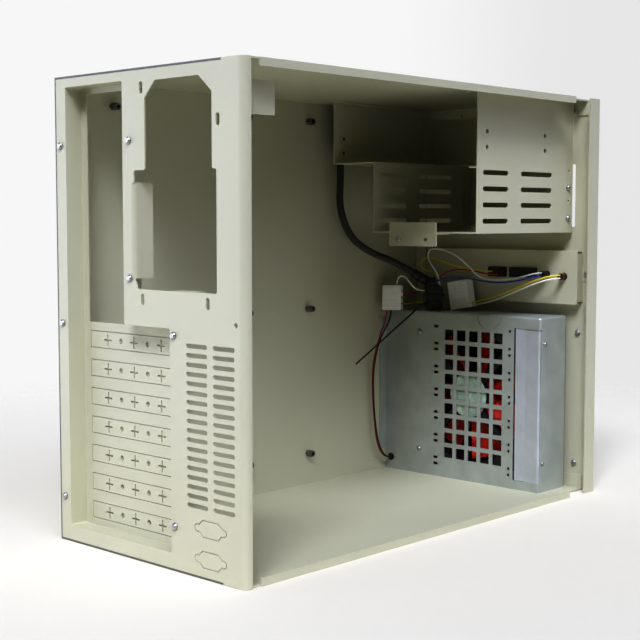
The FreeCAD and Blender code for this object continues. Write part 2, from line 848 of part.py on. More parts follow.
def power_switch_body():
    half = power_w / 2 - rocker_wall
    half_h = rocker_half_h + fit_gap
    hollow = box(power_x - half, power_x + half, rocker_axis_d - rocker_well, depth + bezel_t + 1,
                 switch_z - half_h, switch_z + half_h)
    pin_half = switch_h / 2 - 2 * fit_gap + run_gap
    bore = rod_z(power_x, rocker_axis_d, pin_r + run_gap, switch_z - pin_half, switch_z + pin_half)
    return cut(switch_case(power_x, power_w), [hollow, bore])


def power_rocker():
    """Rocker with a dished front, tipped to its off side on its own pivot pins."""
    end = rocker_half - 0.6
    profile = [(-end, -2.2), (0, -1.4), (end, -2.2), (end, 1.0), (0, 3.0), (-end, 1.0)]
    low = switch_z - rocker_half_h
    wire = closed_wire([vec(power_x + u, rocker_axis_d - v, low) for u, v in profile], 0.5)
    rocker = Part.Face(wire).extrude(FreeCAD.Vector(0, 0, 2 * rocker_half_h))
    pin_half = switch_h / 2 - 2 * fit_gap
    pin = rod_z(power_x, rocker_axis_d, pin_r, switch_z - pin_half, switch_z + pin_half)
    rocker = fused([rocker, pin])
    rocker.rotate(vec(power_x, rocker_axis_d, switch_z), FreeCAD.Vector(0, 0, 1), rocker_tilt)
    return rocker


def reset_switch_body():
    floor = depth + proud - button_length - button_travel - fit_gap
    bore = rod_d(reset_x, switch_z, button_r + button_gap, floor, depth + bezel_t + 1)
    return switch_case(reset_x, reset_w).cut(bore)


def reset_button():
    return rod_d(reset_x, switch_z, button_r, depth + proud - button_length, depth + proud)


def lamp(x, z, back):
    """Panel lamp: lens in the front panel, collar behind it, sleeve back through the bracket."""
    front = depth + lens_proud - back
    seat = front_in - back
    collar = seat - lamp_collar
    profile = [(0, 0), (lamp_sleeve_r, 0), (lamp_sleeve_r, collar), (lamp_collar_r, collar),
               (lamp_collar_r, seat), (lens_r, seat), (lens_r, front - lens_edge),
               (lens_r - lens_edge, front), (0, front)]
    return turned(profile, vec(x, back, z), to_front)


box_back = box_face + box_depth
fan_seat = box_face + 2 * thin
fan_screw_x = fan_x + fan_pitch / 2
fan_screw_rows = (fan_z - fan_pitch / 2, fan_z + fan_pitch / 2)


def fan_box():
    """Perforated face with a top, a near side, a floor flange and a flange on the tray wall."""
    outer = box(box_x, tray, box_face, box_back, floor_in, box_top)
    inner = box(box_x + thin, tray + 1, box_face + thin, box_back + 1, floor_in - 1, box_top - thin)
    for at in ({"x": box_x, "d": box_face}, {"d": box_face, "z": box_top}):
        outer = rolled(outer, box_bend, **at)
    for at in ({"x": box_x + thin, "d": box_face + thin}, {"d": box_face + thin, "z": box_top - thin}):
        inner = rolled(inner, box_bend - thin, **at)
    relief = box(tray - fold_relief, tray + 1, box_face + box_bend, box_back + 1,
                 box_top - box_bend, box_top + 1)
    flange = box(tray - thin, tray, box_face - box_flange, box_face + thin, box_flange_low, box_flange_top)
    solids = [outer.cut(inner).cut(relief), flange,
              box(box_x + box_bend, tray - fold_relief, box_face, box_face + box_floor_leg,
                  floor_in, floor_in + thin)]
    for z in fan_screw_rows:
        solids.append(rod_d(fan_screw_x, z, pad_r, box_face, fan_seat))
    tools = [box(box_x - 1, notch_x, box_face - 1, box_face + thin, notch_low, notch_high),
             box(box_x - 1, box_x + box_bend, box_face - 1, box_face + box_bend, notch_low, notch_high)]
    d0 = box_face - 1
    d1 = box_face + thin + 1
    for column in range(grid_columns):
        for row in range(grid_rows):
            x = grid_x + (column - (grid_columns - 1) / 2) * grid_pitch
            z = grid_z + (row - (grid_rows - 1) / 2) * grid_pitch
            half = grid_hole / 2
            tools.append(box(x - half, x + half, d0, d1, z - half, z + half))
    for i in range(slot_count):
        for side in ((-1, 1) if i else (-1,)):
            z = guide_first - i * slot_pitch + side * guide_gap / 2
            tools.append(box(guide_x - guide_w / 2, guide_x + guide_w / 2, d0, d1,
                             z - guide_h / 2, z + guide_h / 2))
            tools.append(box(guide_dot_x - guide_h / 2, guide_dot_x + guide_h / 2, d0, d1,
                             z - guide_h / 2, z + guide_h / 2))
    ring = rod_d(moon_x, box_top, moon_r, d0, box_face + groove_depth)
    tools.append(ring.cut(rod_d(moon_x, box_top, moon_r - groove, d0 - 1, d1)))
    for z in fan_screw_rows:
        tools.append(rod_d(fan_screw_x, z, screw_hole_r, d0, fan_seat + 1))
    for d, z in box_side_screws:
        tools.append(rod_x(d, z, screw_hole_r, box_x - 1, box_x + thin + 1))
    tools.append(rod_x(*box_wall_screw, screw_hole_r, tray - 2 * thin, tray + 1))
    tools.append(rod_d(grommet_x, grommet_z, grommet_r, d0, d1))
    return cut(fused(solids), tools)


def fan_box_strip():
    """Folded stiffener in the open near corner of the fan box; its free edge stands a little proud."""
    x0 = box_x + thin
    d0 = box_face + thin
    low = floor_in + strip_low
    high = box_top - strip_high
    edge = d0 - strip_rise
    fold = x0 + strip_fold
    end = x0 + strip_w
    outline = [(x0, d0 + strip_d), (x0, d0), (fold, d0), (end, edge), (end, edge + thin), (fold, d0 + thin),
               (x0 + thin, d0 + thin), (x0 + thin, d0 + strip_d)]
    wire = closed_wire([vec(x, d, low) for x, d in outline])
    strip = Part.Face(wire).extrude(FreeCAD.Vector(0, 0, high - low))
    strip = rolled(strip, strip_bend, x=x0, d=d0)
    strip = rolled(strip, strip_bend - thin, x=x0 + thin, d=d0 + thin)
    tools = [rod_x(d, z, screw_hole_r, x0 - 1, x0 + thin + 1) for d, z in box_side_screws]
    for z0, z1 in ((low - 1, notch_low + fit_gap), (notch_high - fit_gap, high + 1)):
        tools.append(box(fold - thin, end + 1, edge - 1, d0 + thin, z0, z1))
    return cut(strip, tools)


def box_screws():
    group = [screw(vec(box_x, d, z), to_open, 2 * thin, small_head_r, small_head) for d, z in box_side_screws]
    group.append(screw(vec(tray - thin, *box_wall_screw), to_open, 2 * thin, small_head_r, small_head))
    return Part.makeCompound(group)


def fan_screws():
    return Part.makeCompound([screw(vec(fan_screw_x, box_face, z), to_rear, 2 * thin + fan_flange)
                              for z in fan_screw_rows])


def fan_frame():
    """Square fan housing: two flanges, a round duct, struts and the motor seat."""
    half = fan_size / 2
    d0 = fan_seat
    d1 = fan_seat + fan_depth
    square = rectangle(fan_x - half, fan_x + half, fan_z - half, fan_z + half)
    solids = [plate_d(square, fan_corner, d0, d0 + fan_flange),
              plate_d(square, fan_corner, d1 - fan_flange, d1),
              rod_d(fan_x, fan_z, fan_bore_r + fan_wall, d0, d1)]
    housing = fused(solids).cut(rod_d(fan_x, fan_z, fan_bore_r, d0 - 1, d1 + 1))
    inner = [rod_d(fan_x, fan_z, hub_r, d0, d0 + stator_h)]
    for i in range(4):
        strut = box(fan_x, fan_x + fan_bore_r + fan_wall / 2, d0, d0 + strut_t,
                    fan_z - strut_w / 2, fan_z + strut_w / 2)
        strut.rotate(vec(fan_x, d0, fan_z), to_rear, 45 + 90 * i)
        inner.append(strut)
    shaft_end = d0 + stator_h - shaft_in - shaft_floor
    tools = [rod_d(fan_x, fan_z, shaft_r + run_gap, shaft_end, d0 + stator_h + 1)]
    reach = fan_pitch / 2
    for a in (-reach, reach):
        for b in (-reach, reach):
            tools.append(rod_d(fan_x + a, fan_z + b, fan_hole_r, d0 - 1, d1 + 1))
    return cut(fused([housing] + inner), tools)


def blade_section(r, chord, pitch, middle):
    """Thin slanted section of a blade, square to the radius."""
    lean = math.radians(pitch)
    along = FreeCAD.Vector(0, math.sin(lean), math.cos(lean)) * (chord / 2)
    across = FreeCAD.Vector(0, math.cos(lean), -math.sin(lean)) * (blade_t / 2)
    centre = vec(fan_x + r, middle, fan_z)
    points = [centre + along + across, centre + along - across,
              centre - along - across, centre - along + across]
    return Part.makePolygon(points + points[:1])


def fan_rotor():
    """Hub with twisted blades and a shaft that runs in the motor seat."""
    d0 = fan_seat + stator_h + hub_gap
    d1 = fan_seat + fan_depth - blade_end_gap
    middle = (d0 + d1) / 2
    sections = [blade_section(r, chord, pitch, middle) for r, chord, pitch in blade_stations]
    blade = Part.makeLoft(sections, True, True)
    solids = [rod_d(fan_x, fan_z, hub_r, d0, d1),
              rod_d(fan_x, fan_z, shaft_r, d0 - hub_gap - shaft_in, d0 + 1)]
    for i in range(blade_count):
        copy = blade.copy()
        copy.rotate(vec(fan_x, middle, fan_z), to_rear, 360.0 * i / blade_count)
        solids.append(copy)
    return solids[0].fuse(solids[1:])


def fan_grommet():
    """Rubber bush in the fan box's face for the fan's two leads."""
    seat = thin + grommet_proud
    profile = [(0, -seat), (grommet_r - grommet_gap, -seat), (grommet_r - grommet_gap, -grommet_proud),
               (grommet_r + grommet_lip, -grommet_proud), (grommet_r + grommet_lip, 0), (0, 0)]
    return turned(profile, vec(grommet_x, box_face - grommet_proud, grommet_z), to_rear)


def block(at, yaw, back, front, half, low, high):
    """Upright block turned about z: back and front run along its length, half across it."""
    a = math.radians(yaw)
    along = (-math.cos(a), math.sin(a))
    across = (math.sin(a), math.cos(a))
    ring = []
    for u, v in ((-back, -half), (front, -half), (front, half), (-back, half)):
        ring.append(vec(at[0] + u * along[0] + v * across[0], at[1] + u * along[1] + v * across[1], low))
    return Part.Face(Part.makePolygon(ring + ring[:1])).extrude(FreeCAD.Vector(0, 0, high - low))


sleeve_route = [(181.0, 118.5, 283.0), (181.0, 118.5, 262.0), (181.5, 119.5, 238.0), (180.0, 108.0, 213.0),
                (177.0, 84.0, 199.0), (168.5, 59.0, 190.4), (159.0, 46.5, 181.0)]


def harness_point(x, back, z):
    """Point of the wiring, with its place measured back from the front face."""
    return vec(x, depth - back, z)


def harness_bundle():
    """Taped bundle that lies on the fan box, with a collar where the sleeve comes in."""
    body = fused([block(bundle_at, bundle_yaw, bundle_back, bundle_step, bundle_half, box_top, bundle_high),
                  block(bundle_at, bundle_yaw, bundle_step, bundle_front, bundle_half, box_top, bundle_low)])
    end = harness_point(*sleeve_route[-1])
    way = (end - harness_point(*sleeve_route[-2])).normalize()
    collar = Part.makeCylinder(sleeve_d / 2 + collar_wall, collar_length, end, way)
    return fused([body, collar])


def cable_tie():
    """Band round the bundle with its long free tail."""
    band = block(bundle_at, bundle_yaw, bundle_back + tie_t, bundle_front + tie_t, bundle_half + tie_t,
                 tie_low, tie_high)
    core = block(bundle_at, bundle_yaw, bundle_back, bundle_front, bundle_half, tie_low - 1, tie_high + 1)
    a = math.radians(bundle_yaw)
    reach = bundle_half + 0.8 * tie_t
    start = vec(bundle_at[0] + 0.6 * bundle_back * math.cos(a) - reach * math.sin(a),
                bundle_at[1] - 0.6 * bundle_back * math.sin(a) - reach * math.cos(a), tie_low + 0.8 * tie_t)
    run = vec(*tie_tail_end) - start
    tail = Part.makeCylinder(tail_r, run.Length, start, run)
    return band.cut(core).fuse(tail.cut(core))


def plug_left():
    a = math.radians(plug_left_yaw)
    half = plug_left_t / 2
    middle = (plug_left_face[0] + half * math.sin(a), plug_left_face[1] + half * math.cos(a))
    body = block(middle, plug_left_yaw, plug_left_half, plug_left_half, half, plug_left_low, plug_left_high)
    return body.makeChamfer(plug_edge, [e for e in body.Edges if abs(e.tangentAt(e.FirstParameter).z) > 0.9])


def plug_right():
    """White plug that leans over on top of the fan box."""
    x, d, z = plug_right_at
    body = box(x - plug_right_half, x + plug_right_half, d - plug_right_t / 2, d + plug_right_t / 2,
               z - plug_right_half_h, z + plug_right_half_h)
    body = body.makeChamfer(plug_edge, [e for e in body.Edges if abs(e.tangentAt(e.FirstParameter).z) > 0.9])
    body.rotate(vec(x, d, z), to_rear, plug_right_tilt)
    return body


def cable_clamp():
    """Clamp block on the cage's side that holds the sleeve's upper end."""
    far = cage_x + 2 * thin + bay_w
    x, back, z = sleeve_route[0]
    d = depth - back
    return box(far, far + clamp_w, d - clamp_half, d + clamp_half, z, z + clamp_h)


def plug_side(up):
    """Point on the leaning plug's open-side face, and the way out of it."""
    t = math.radians(plug_right_tilt)
    x, d, z = plug_right_at
    way = (-math.cos(t), 0.0, math.sin(t))
    point = (x + plug_right_half * way[0] + up * way[2], depth - d, z + plug_right_half * way[2] - up * way[0])
    return point, way


def lamp_pair(up, lift):
    """Lead from the outer lamp down to the leaning plug."""
    end, way = plug_side(up)
    before = tuple(end[i] + 10.5 * way[i] for i in range(3))
    x, z, back = lamp_places[1]
    top = z + lift
    return [(x, depth - back, top), (x, 24.7, top), (30.5, 30.4, top - 1.3), (45.0, 32.0, top - 6.3),
            (64.0, 29.5, top - 13.3), (84.0, 25.0, top - 20.2), before, end]


wire_routes = {
    "led_wire_white": [
        (139.5, 33.0, 168.0), (139.5, 33.0, 178.0), (153.5, 33.0, 192.0), (152.0, 33.0, 202.0),
        (139.5, 33.0, 202.3), (121.0, 33.0, 197.0), (107.3, 32.0, 186.5), (98.0, 31.0, 177.5),
        (80.0, 30.0, 176.0), (62.0, 31.0, 177.8), (47.3, 32.0, 181.5), (42.0, 26.7, 183.3),
        (42.0, 19.0, 183.3)],
    "led_wire_blue": [
        (140.735, 38.938, 172.0), (137.306, 42.577, 172.0), (131.0, 44.5, 175.5), (121.0, 42.5, 178.0),
        (109.0, 38.5, 178.0), (97.0, 35.0, 176.0), (82.0, 33.5, 174.3), (67.0, 33.0, 175.0),
        (57.0, 33.4, 176.6), (47.8, 32.0, 178.6), (42.0, 26.7, 180.7), (42.0, 19.0, 180.7)],
    "switch_wire_yellow": [
        (143.6, 28.6, 168.0), (143.6, 28.6, 176.5), (151.5, 29.5, 181.5), (159.5, 31.5, 183.0),
        (164.0, 30.6, 187.5), (162.3, 28.3, 192.8), (155.0, 26.5, 194.0), (146.0, 26.5, 192.0),
        (134.0, 26.0, 188.8), (119.0, 25.0, 185.0), (103.0, 26.2, 183.3), (96.8, 20.7, 183.0),
        (96.8, 13.5, 183.0)],
    "switch_wire_red": [
        (143.744, 32.828, 173.0), (138.65, 28.028, 173.0), (127.5, 26.0, 179.5), (113.0, 25.5, 181.5),
        (96.2, 26.2, 180.7), (90.0, 20.7, 180.5), (90.0, 13.5, 180.5)],
    "lamp_wire_yellow": lamp_pair(-8.4, 1.3),
    "lamp_wire_white": lamp_pair(-11.0, -1.3),
    "plug_wire_white": [
        (170.911, 54.341, 169.5), (170.911, 54.341, 176.5), (164.5, 51.4, 179.5), (158.5, 49.0, 172.5),
        (155.753, 44.144, 165.0), (151.022, 39.687, 165.0)],
    "plug_wire_red": [
        (172.164, 49.905, 159.5), (175.009, 44.622, 159.5), (172.0, 35.5, 161.0), (164.0, 28.8, 163.5),
        (157.027, 27.482, 164.5), (152.569, 32.213, 164.5)],
    "plug_wire_yellow": [
        (172.164, 49.905, 152.0), (175.009, 44.622, 152.0), (172.0, 35.5, 152.5), (164.0, 28.8, 153.5),
        (157.027, 27.482, 154.0), (152.569, 32.213, 154.0)],
    "fan_lead_red": [
        (184.9, 46.3, 12.0), (184.9, 53.8, 12.0), (186.3, 62.0, 23.0), (186.5, 66.5, 45.0),
        (187.0, 69.0, 75.0), (186.5, 69.0, 100.0), (183.0, 64.0, 124.0), (178.5, 59.8, 139.0),
        (178.5, 59.8, 147.5)],
    "fan_lead_black": [
        (183.1, 46.3, 12.0), (183.1, 54.3, 12.0), (183.1, 64.0, 24.0), (183.0, 69.5, 45.5),
        (183.5, 72.0, 75.0), (183.0, 71.5, 100.0), (180.0, 66.0, 124.0), (174.8, 58.0, 138.8),
        (174.8, 58.0, 147.5)],
}


def tube(name, route, diameter):
    """Round cord along straight runs joined by tangent arcs, with its measures printed."""
    points = [harness_point(*p) for p in route]
    edges = []
    radii = []
    start = points[0]
    for i in range(1, len(points) - 1):
        into = points[i] - points[i - 1]
        out = points[i + 1] - points[i]
        turn = into.getAngle(out)
        r = 0.45 * min(into.Length, out.Length) / math.tan(turn / 2)
        a, middle, b = corner(points[i - 1], points[i], points[i + 1], r)
        edges.append(Part.LineSegment(start, a).toShape())
        edges.append(Part.Arc(a, middle, b).toShape())
        radii.append(round(r, 1))
        start = b
    edges.append(Part.LineSegment(start, points[-1]).toShape())
    path = Part.Wire(edges)
    section = Part.Wire(Part.makeCircle(diameter / 2, points[0], points[1] - points[0]))
    solid = path.makePipeShell([section], True, False)
    length = path.Length
    ratio = solid.Volume / (math.pi * diameter ** 2 / 4 * length)
    print(name, "length", round(length, 1), "volume ratio", round(ratio, 4), "radii", radii)
    return solid


pieces = {
    "main_shell": main_shell(),
    "rear_panel": rear_panel(),
    "slot_carrier": slot_carrier(),
    "slot_cover_screws": cover_screws(),
    "rear_screws": rear_screws(),
    "standoffs": standoffs(),
    "psu_guide": psu_guide(),
    "front_panel": front_panel(),
    "inlet_filter": inlet_filter(),
    "front_screws": front_screws(),
    "bay_cover_525": bay_cover_525(),
    "bay_cover_35": bay_cover_35(),
    "drive_cage": drive_cage(),
    "cage_screws": cage_screws(),
    "hold_down_bracket": hold_down_bracket(),
    "switch_bracket": switch_bracket(),
    "power_switch_body": power_switch_body(),
    "power_rocker": power_rocker(),
    "reset_switch_body": reset_switch_body(),
    "reset_button": reset_button(),
    "power_lamp": lamp(*lamp_places[0]),
    "disk_lamp": lamp(*lamp_places[1]),
    "fan_box": fan_box(),
    "fan_box_strip": fan_box_strip(),
    "box_screws": box_screws(),
    "fan_frame": fan_frame(),
    "fan_rotor": fan_rotor(),
    "fan_screws": fan_screws(),
    "fan_grommet": fan_grommet(),
    "harness_bundle": harness_bundle(),
    "cable_tie": cable_tie(),
    "plug_left": plug_left(),
    "plug_right": plug_right(),
    "cable_clamp": cable_clamp(),
    "sleeve_cable": tube("sleeve_cable", sleeve_route, sleeve_d),
}
for number, row_z in enumerate(slot_rows, 1):
    pieces["slot_cover_%d" % number] = slot_cover(row_z)
for wire_name, wire_route in wire_routes.items():
    pieces[wire_name] = tube(wire_name, wire_route, wire_d)

os.makedirs("parts", exist_ok=True)
for node, shape in pieces.items():
    shape.exportStep("parts/" + node + ".step")
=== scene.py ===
import json
import math

import bmesh
import bpy
from mathutils import Matrix, Vector


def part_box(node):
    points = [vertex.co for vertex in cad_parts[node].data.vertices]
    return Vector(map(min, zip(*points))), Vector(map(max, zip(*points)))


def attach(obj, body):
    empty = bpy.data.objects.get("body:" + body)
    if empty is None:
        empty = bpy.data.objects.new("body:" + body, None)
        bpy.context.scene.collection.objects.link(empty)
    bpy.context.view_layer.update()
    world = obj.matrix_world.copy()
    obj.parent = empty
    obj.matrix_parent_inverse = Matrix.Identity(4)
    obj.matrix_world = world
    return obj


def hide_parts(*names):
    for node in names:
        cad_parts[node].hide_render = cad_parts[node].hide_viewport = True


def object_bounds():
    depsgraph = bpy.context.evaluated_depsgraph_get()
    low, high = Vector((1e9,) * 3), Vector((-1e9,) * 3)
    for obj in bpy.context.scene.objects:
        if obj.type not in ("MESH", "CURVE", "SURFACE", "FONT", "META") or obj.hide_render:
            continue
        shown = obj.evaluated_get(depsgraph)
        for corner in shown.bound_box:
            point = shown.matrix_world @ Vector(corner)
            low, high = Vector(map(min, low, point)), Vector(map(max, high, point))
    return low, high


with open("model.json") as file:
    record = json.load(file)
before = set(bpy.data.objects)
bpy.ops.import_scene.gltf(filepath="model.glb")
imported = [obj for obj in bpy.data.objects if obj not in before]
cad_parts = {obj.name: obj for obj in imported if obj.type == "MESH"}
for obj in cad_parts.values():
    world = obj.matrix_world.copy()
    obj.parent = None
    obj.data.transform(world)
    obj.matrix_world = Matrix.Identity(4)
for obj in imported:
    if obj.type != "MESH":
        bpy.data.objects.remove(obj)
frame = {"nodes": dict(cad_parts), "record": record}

cad_low, cad_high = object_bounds()

# Frame of the wiring, in metres: across from the open side, back from the front face, up
HALF_WIDTH = 0.096
HALF_DEPTH = 0.2015

# Directions of the frame
RIGHT = Vector((1, 0, 0))
REAR = Vector((0, 1, 0))
UP = Vector((0, 0, 1))

# Camera, fitted to the photograph
CAMERA_AT = Vector((-0.66367, 0.73716, 0.23045))
CAMERA_WAY = Vector((0.6835, -0.7255, -0.0799))
CAMERA_ROLL = math.radians(0.047)
CAMERA_LENS = 72.479
CAMERA_SENSOR = 36.0

# Cords: diameters, and the steps of their curves
SLEEVE_D = 0.006
WIRE_D = 0.0014
CORD_STEPS = 12
CORD_ROUND_STEPS = 5

# Taped bundle on the fan box
BUNDLE_AT = (0.1452, 0.0342)
BUNDLE_YAW = math.radians(43.3)
BUNDLE_LENGTH = 0.0078
BUNDLE_HALF = 0.0063
BUNDLE_TOP = 0.1768
BUNDLE_STEP = 0.168
BUNDLE_FRONT_TOP = 0.002
BUNDLE_CROWN = 0.35
BUNDLE_SQUARENESS = 0.6
BUNDLE_ROWS = 34
TAPE_WIDTH = 0.0035
TAPE_LIFT = 0.0003
COLLAR_LENGTH = 0.016
COLLAR_R = SLEEVE_D / 2 + 0.0013
COLLAR_ROWS = 20

# White plugs
PLUG_LEFT_FACE = (0.1723, 0.0602)
PLUG_LEFT_YAW = math.radians(28.3)
PLUG_LEFT_SIZE = (0.017, 0.009, 0.022)
PLUG_LEFT_LOW = 0.1475
PLUG_RIGHT_AT = (0.1235, 0.022, 0.16175)
PLUG_RIGHT_SIZE = (0.021, 0.010, 0.0246)
PLUG_RIGHT_TILT = math.radians(10.0)
PLUG_CELLS = 4
PLUG_WALL = 0.0009
PLUG_POCKET = 0.004
PLUG_RIB = 0.0006
PLUG_RIB_LONG = 0.7
PLUG_RIB_WIDE = 0.35
PLUG_RIB_SHIFT = 0.1
PLUG_EDGE = 0.0005
PLUG_EDGE_STEPS = 2
PLUG_EDGE_ANGLE = math.radians(40)

# Dark colour painted on the rear edge of the case's sheet: its colour, how squarely it faces the rear, and
# where it starts
DARK_REAR_EDGE = (0.18, 0.18, 0.165, 1.0)
DARK_REAR_EDGE_FACING = (0.9, 0.98)
DARK_REAR_EDGE_FROM = (HALF_DEPTH - 0.006, HALF_DEPTH - 0.004)

# Label on the fan's hub
LABEL_R = 0.0192
LABEL_T = 0.00025
LABEL_EDGE = 0.0008
LABEL_SIDES = 64

# Part of a noise's range that carries a material's tones
NOISE_LOW = 0.3
NOISE_HIGH = 0.7

# Studio: soft boxes and far walls, by compass angle, height and half-angle in degrees, and strength
SOFT_BOXES = (
    (123.0, 47.0, 9.5, 26.6),
    (150.0, 50.0, 14.0, 3.6),
    (180.0, 50.0, 14.0, 1.6),
    (180.0, 30.0, 14.0, 1.9),
)
FAR_WALLS = (
    (247.0, 6.0, 45.0, 0.6),
    (0.0, 6.0, 65.0, 2.8),
)
LIGHT_BLUR = 4.0
LIGHT_TINT = (0.955, 0.99, 1.18)
WALL_TOP = (math.sin(math.radians(15)), math.sin(math.radians(26)))
SHEET_REACH = (0.42, 1.0)
SHEET_DROP = 0.0002
SHEET_WHITE = (0.875, 0.84, 0.715)
SHEET_ROUGHNESS = 0.9
ROOM_WHITE = 0.953
# Painted shade on the backdrop the camera sees: it darkens towards the right of the view over this span, down
# to this share of the room's white
ROOM_SHADE_SPAN = (0.04, 0.2)
ROOM_SHADE_SHARE = 0.9
ROOM_CONTRAST = 1 / 1.5


def place(x, back, z):
    """Point of the frame from a point of the wiring."""
    return Vector((x - HALF_WIDTH, back - HALF_DEPTH, z))


# Materials
def fresh(name):
    """New material with its node tree and its shader."""
    material = bpy.data.materials.new(name)
    material.use_nodes = True
    tree = material.node_tree
    return material, tree, tree.nodes["Principled BSDF"]


def noise(tree, scale, detail=2.0, stretch=(1.0, 1.0, 1.0)):
    """Noise in the piece's own space, with scale in grains per metre."""
    where = tree.nodes.new("ShaderNodeTexCoord")
    mapping = tree.nodes.new("ShaderNodeMapping")
    mapping.inputs["Scale"].default_value = stretch
    texture = tree.nodes.new("ShaderNodeTexNoise")
    texture.inputs["Scale"].default_value = scale
    texture.inputs["Detail"].default_value = detail
    tree.links.new(where.outputs["Object"], mapping.inputs["Vector"])
    tree.links.new(mapping.outputs["Vector"], texture.inputs["Vector"])
    return texture.outputs["Fac"]


def tint(tree, shader, value, dark, light):
    """Base colour that runs from dark to light with a value."""
    ramp = tree.nodes.new("ShaderNodeValToRGB")
    low, high = ramp.color_ramp.elements
    low.position = NOISE_LOW
    low.color = (*dark, 1.0)
    high.position = NOISE_HIGH
    high.color = (*light, 1.0)
    tree.links.new(value, ramp.inputs["Fac"])
    tree.links.new(ramp.outputs["Color"], shader.inputs["Base Color"])


def vary(tree, shader, socket, value, low, high):
    """Shader input that runs from low to high with a value."""
    node = tree.nodes.new("ShaderNodeMapRange")
    node.inputs["From Min"].default_value = NOISE_LOW
    node.inputs["From Max"].default_value = NOISE_HIGH
    node.inputs["To Min"].default_value = low
    node.inputs["To Max"].default_value = high
    tree.links.new(value, node.inputs["Value"])
    tree.links.new(node.outputs["Result"], shader.inputs[socket])


def bump(tree, shader, value, strength, depth):
    """Fine relief of a depth in metres."""
    node = tree.nodes.new("ShaderNodeBump")
    node.inputs["Strength"].default_value = strength
    node.inputs["Distance"].default_value = depth
    tree.links.new(value, node.inputs["Height"])
    tree.links.new(node.outputs["Normal"], shader.inputs["Normal"])


def span(tree, value, source, target):
    """Smooth step of a value from one range to another."""
    node = tree.nodes.new("ShaderNodeMapRange")
    node.interpolation_type = "SMOOTHSTEP"
    node.inputs["From Min"].default_value = source[0]
    node.inputs["From Max"].default_value = source[1]
    node.inputs["To Min"].default_value = target[0]
    node.inputs["To Max"].default_value = target[1]
    tree.links.new(value, node.inputs["Value"])
    return node.outputs["Result"]


def maths(tree, operation, first, second):
    """Sum or product of a node's value with a number or another node's value."""
    node = tree.nodes.new("ShaderNodeMath")
    node.operation = operation
    tree.links.new(first, node.inputs[0])
    if isinstance(second, float):
        node.inputs[1].default_value = second
    else:
        tree.links.new(second, node.inputs[1])
    return node.outputs["Value"]


def along(tree, way, direction):
    """Share of a vector that lies along a direction."""
    node = tree.nodes.new("ShaderNodeVectorMath")
    node.operation = "DOT_PRODUCT"
    node.inputs[1].default_value = direction
    tree.links.new(way, node.inputs[0])
    return node.outputs["Value"]


def painted_steel(name):
    """Satin light warm grey paint with a fine orange-peel stipple and faint uneven patches."""
    material, tree, shader = fresh(name)
    patches = noise(tree, 7.0)
    stipple = noise(tree, 1100.0)
    tint(tree, shader, patches, (0.588, 0.578, 0.434), (0.622, 0.612, 0.463))
    vary(tree, shader, "Roughness", stipple, 0.44, 0.56)
    bump(tree, shader, stipple, 0.2, 0.00012)
    return material


def dark_rear_edges(material):
    """Dark colour painted on the rear-facing faces near the rear edge of a painted sheet."""
    tree = material.node_tree
    shader = tree.nodes["Principled BSDF"]
    where = tree.nodes.new("ShaderNodeTexCoord")
    facing = span(tree, along(tree, where.outputs["Normal"], REAR), DARK_REAR_EDGE_FACING, (0.0, 1.0))
    ending = span(tree, along(tree, where.outputs["Object"], REAR), DARK_REAR_EDGE_FROM, (0.0, 1.0))
    coat = tree.nodes.new("ShaderNodeMix")
    coat.data_type = "RGBA"
    # The third input takes the dark colour painted on the rear-facing faces near the rear edge
    factor, paint, steel = (socket for socket in coat.inputs if socket.enabled)
    mixed, = (socket for socket in coat.outputs if socket.enabled)
    steel.default_value = DARK_REAR_EDGE
    tree.links.new(maths(tree, "MULTIPLY", facing, ending), factor)
    tree.links.new(shader.inputs["Base Color"].links[0].from_socket, paint)
    tree.links.new(mixed, shader.inputs["Base Color"])
    return material


def zinc_steel(name, dark, light):
    """Zinc-plated sheet with rolling streaks and soft cloudy spangle."""
    material, tree, shader = fresh(name)
    clouds = noise(tree, 45.0, 4.0)
    streaks = noise(tree, 900.0, 2.0, (1.0, 1.0, 0.02))
    tint(tree, shader, clouds, dark, light)
    vary(tree, shader, "Roughness", streaks, 0.38, 0.52)
    bump(tree, shader, streaks, 0.06, 0.00008)
    shader.inputs["Metallic"].default_value = 0.5
    return material


def bright_metal(name, dark, light, rough):
    """Small turned or plated hardware with fine tool marks."""
    material, tree, shader = fresh(name)
    marks = noise(tree, 1800.0, 3.0)
    tint(tree, shader, marks, dark, light)
    vary(tree, shader, "Roughness", marks, rough - 0.08, rough + 0.1)
    bump(tree, shader, marks, 0.1, 0.00005)
    shader.inputs["Metallic"].default_value = 1.0
    return material


def moulded(name, dark, light, rough, grain=900.0, depth=0.00006):
    """Moulded plastic, rubber or insulation with an uneven tone and a fine surface."""
    material, tree, shader = fresh(name)
    clouds = noise(tree, 160.0, 3.0)
    surface = noise(tree, grain)
    tint(tree, shader, clouds, dark, light)
    vary(tree, shader, "Roughness", surface, rough - 0.07, rough + 0.07)
    bump(tree, shader, surface, 0.2, depth)
    return material


def nylon(name):
    """Natural nylon: off-white, with light passing a little way into it."""
    material = moulded(name, (0.88, 0.87, 0.83), (0.94, 0.93, 0.90), 0.42)
    shader = material.node_tree.nodes["Principled BSDF"]
    shader.inputs["Subsurface Weight"].default_value = 0.25
    shader.inputs["Subsurface Radius"].default_value = (0.002, 0.002, 0.0016)
    return material


def braid(name):
    """Dark sleeving with a fine uneven weave."""
    material, tree, shader = fresh(name)
    weave = noise(tree, 1500.0, 2.0, (0.35, 0.35, 1.0))
    tint(tree, shader, weave, (0.030, 0.029, 0.024), (0.060, 0.058, 0.048))
    vary(tree, shader, "Roughness", weave, 0.45, 0.68)
    bump(tree, shader, weave, 0.35, 0.0002)
    return material


def paper(name):
    """Pale green printed paper with soft uneven ink, no lettering."""
    material, tree, shader = fresh(name)
    ink = noise(tree, 130.0, 3.0)
    fibre = noise(tree, 2500.0)
    tint(tree, shader, ink, (0.30, 0.42, 0.31), (0.56, 0.68, 0.55))
    vary(tree, shader, "Roughness", fibre, 0.5, 0.65)
    bump(tree, shader, fibre, 0.1, 0.00004)
    return material


